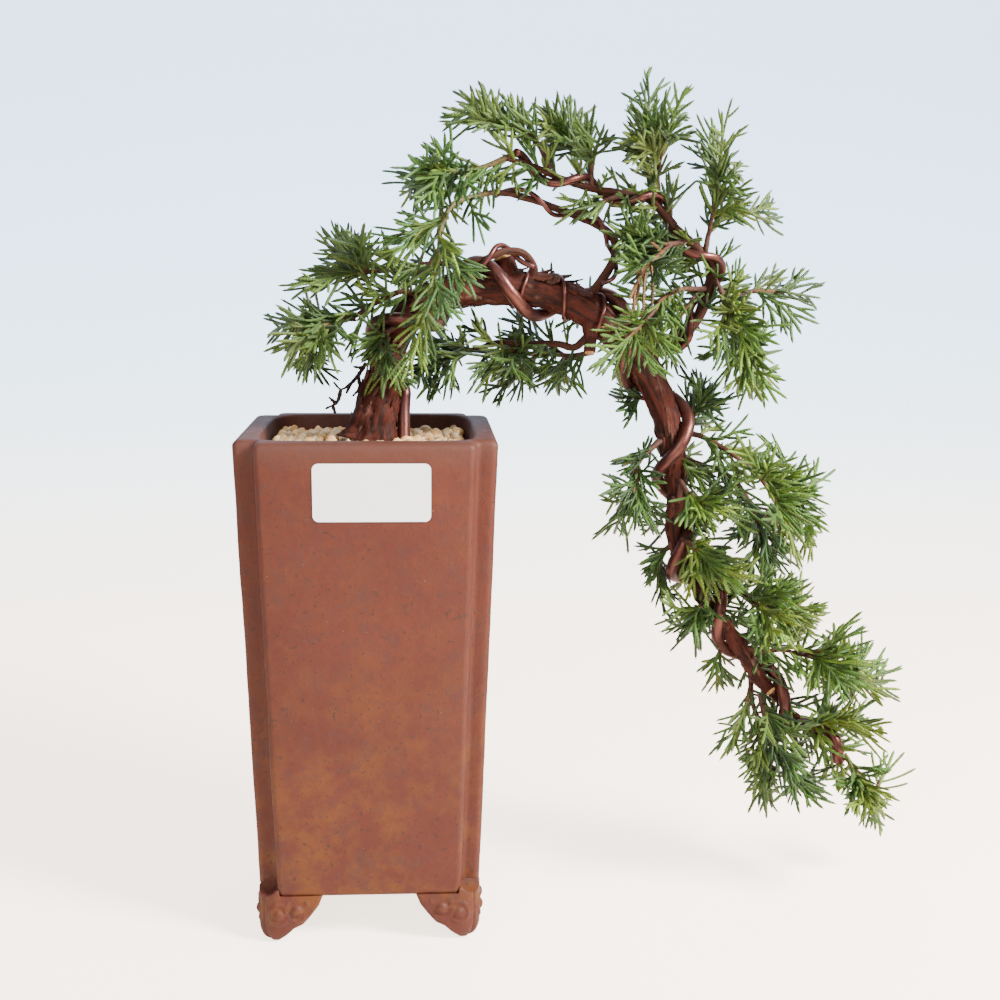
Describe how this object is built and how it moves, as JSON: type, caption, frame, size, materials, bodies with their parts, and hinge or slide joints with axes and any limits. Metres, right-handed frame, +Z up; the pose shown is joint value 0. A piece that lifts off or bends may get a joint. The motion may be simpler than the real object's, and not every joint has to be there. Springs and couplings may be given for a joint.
{
  "type": "potted bonsai tree",
  "caption": "Cascade juniper bonsai: a wired trunk arches over and falls beside a tall square unglazed clay pot on scroll feet, with open sprays of foliage.",
  "frame": {"origin": "middle of the plan of the whole plant, at the level of the undersides of the pot feet", "axes": "+Z up; -Y is the front that the tree is styled for; +X is the side that the cascade falls to"},
  "size_m": [0.2692, 0.0964, 0.3218],
  "materials": {
    "clay": "matte",
    "grit": "matte",
    "bark": "matte",
    "copper": "satin",
    "dead_wood": "matte",
    "needles": "matte"
  },
  "bodies": {
    "root": {"bend_back": "needles", "bend_right": "needles", "bough_apex_low": "bark", "bough_apex_top": "bark", "bough_behind": "bark", "bough_cascade": "bark", "bough_left": "bark", "bough_left_under": "bark", "bough_low": "bark", "bough_lower": "bark", "bough_right": "bark", "bough_tail": "bark", "bough_upper_low": "bark", "bough_upper_top": "bark", "cascade_behind": "needles", "cascade_front": "needles", "cascade_left": "needles", "cascade_low": "needles", "cascade_low_front": "needles", "cascade_mid": "needles", "cascade_right": "needles", "dead_twig": "dead_wood", "fall_left": "needles", "foot_front": "needles", "front_fall": "needles", "left_low": "needles", "left_top": "needles", "lower_left": "needles", "lower_right": "needles", "pot": "clay", "pot_foot_1": "clay", "pot_foot_2": "clay", "pot_foot_3": "clay", "pot_foot_4": "clay", "right_pad": "needles", "right_spray": "needles", "shoulder_low": "needles", "shoulder_top": "needles", "soil": "grit", "tail_left": "needles", "tail_middle": "needles", "tail_right": "needles", "tail_tip": "needles", "tail_upper": "needles", "top_left_low": "needles", "top_left_up": "needles", "top_mid": "needles", "top_middle": "needles", "top_right": "needles", "trunk_arch": "bark", "trunk_fall": "bark", "trunk_foot": "bark", "trunk_tail": "bark", "wire_apex": "copper", "wire_left": "copper", "wire_trunk_lower": "copper", "wire_trunk_upper": "copper", "wire_upper": "copper"}
  },
  "joints": []
}
